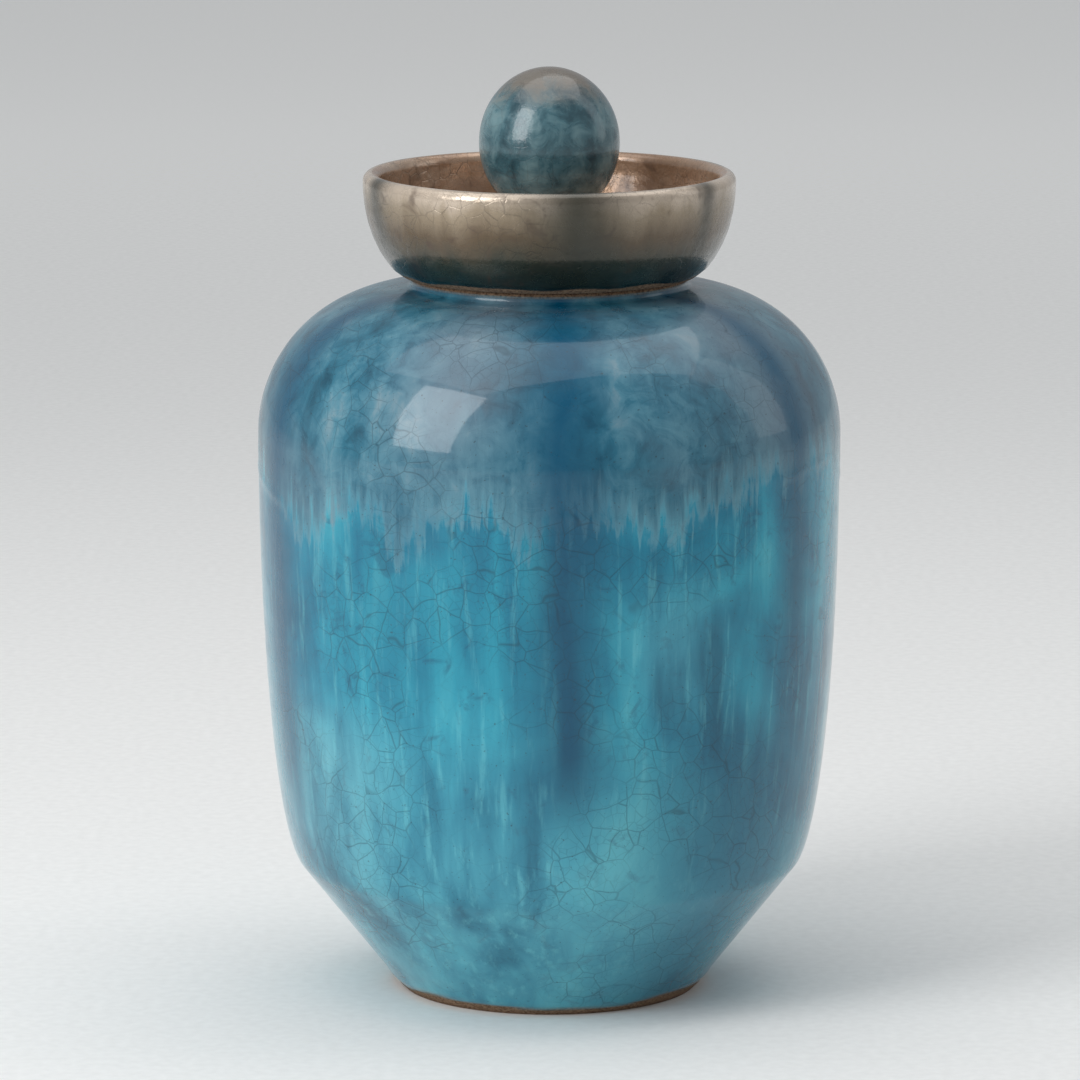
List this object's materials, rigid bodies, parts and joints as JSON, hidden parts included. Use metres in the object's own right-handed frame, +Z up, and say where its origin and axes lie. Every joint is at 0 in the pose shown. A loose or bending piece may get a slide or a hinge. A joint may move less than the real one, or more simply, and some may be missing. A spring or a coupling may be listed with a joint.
{
  "type": "lidded urn",
  "caption": "Thrown and glazed ceramic urn with a round shoulder and a lift-off lid: a bowl-shaped collar round a ball knob.",
  "frame": {"origin": "middle of the underside, at the level of the foot ring's flat face", "axes": "+Z up along the turning axis, +X to the right and -Y towards the viewer of the picture"},
  "size_m": [0.17, 0.17, 0.2718],
  "materials": {
    "body_glaze": "glossy mottled turquoise glaze, greyer blue on the shoulder, bare clay on the foot ring",
    "lid_glaze": "copper brown lustre glaze on the collar, blue grey glaze on the ball knob"
  },
  "bodies": {
    "root": {"urn_body": "body_glaze", "lid": "lid_glaze"}
  },
  "joints": []
}
